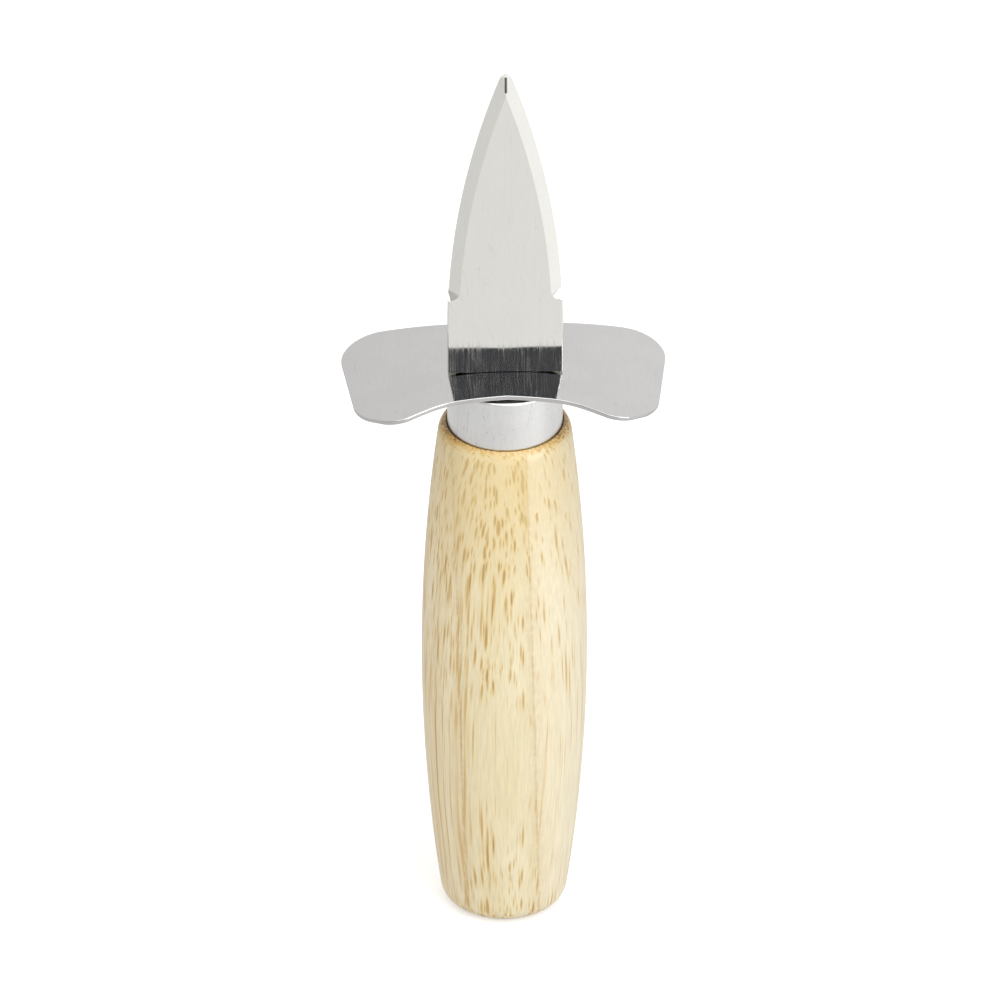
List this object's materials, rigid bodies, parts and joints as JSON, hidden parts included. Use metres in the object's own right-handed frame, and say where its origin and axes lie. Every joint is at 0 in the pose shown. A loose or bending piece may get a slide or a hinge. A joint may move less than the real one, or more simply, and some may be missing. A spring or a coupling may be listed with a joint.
{
  "type": "oyster knife",
  "caption": "Oyster knife with a short blunt two-edged blade, a bent sheet guard, a drawn metal ferrule and a turned barrel handle of pale wood.",
  "frame": {"origin": "centre of the flat butt face, on which the knife stands upright", "axes": "+Z along the handle towards the point of the blade; +Y towards the straighter back edge of the guard; +X across the flats of the blade"},
  "size_m": [0.0548, 0.0289, 0.165],
  "materials": {
    "blade_steel": "polished stainless steel, fine grinding marks along the blade and across the bevels",
    "guard_steel": "mirror-polished stainless sheet with hairline scratches",
    "ferrule_metal": "satin drawn aluminium with small dents and scuffs",
    "handle_wood": "pale open-pored hardwood, sanded, clear satin lacquer",
    "glue": "hardened clear amber resin"
  },
  "bodies": {
    "root": {"blade": "blade_steel", "guard": "guard_steel", "ferrule": "ferrule_metal", "handle_middle": "handle_wood", "handle_left": "handle_wood", "handle_right": "handle_wood", "tang_bond": "glue"}
  },
  "joints": []
}
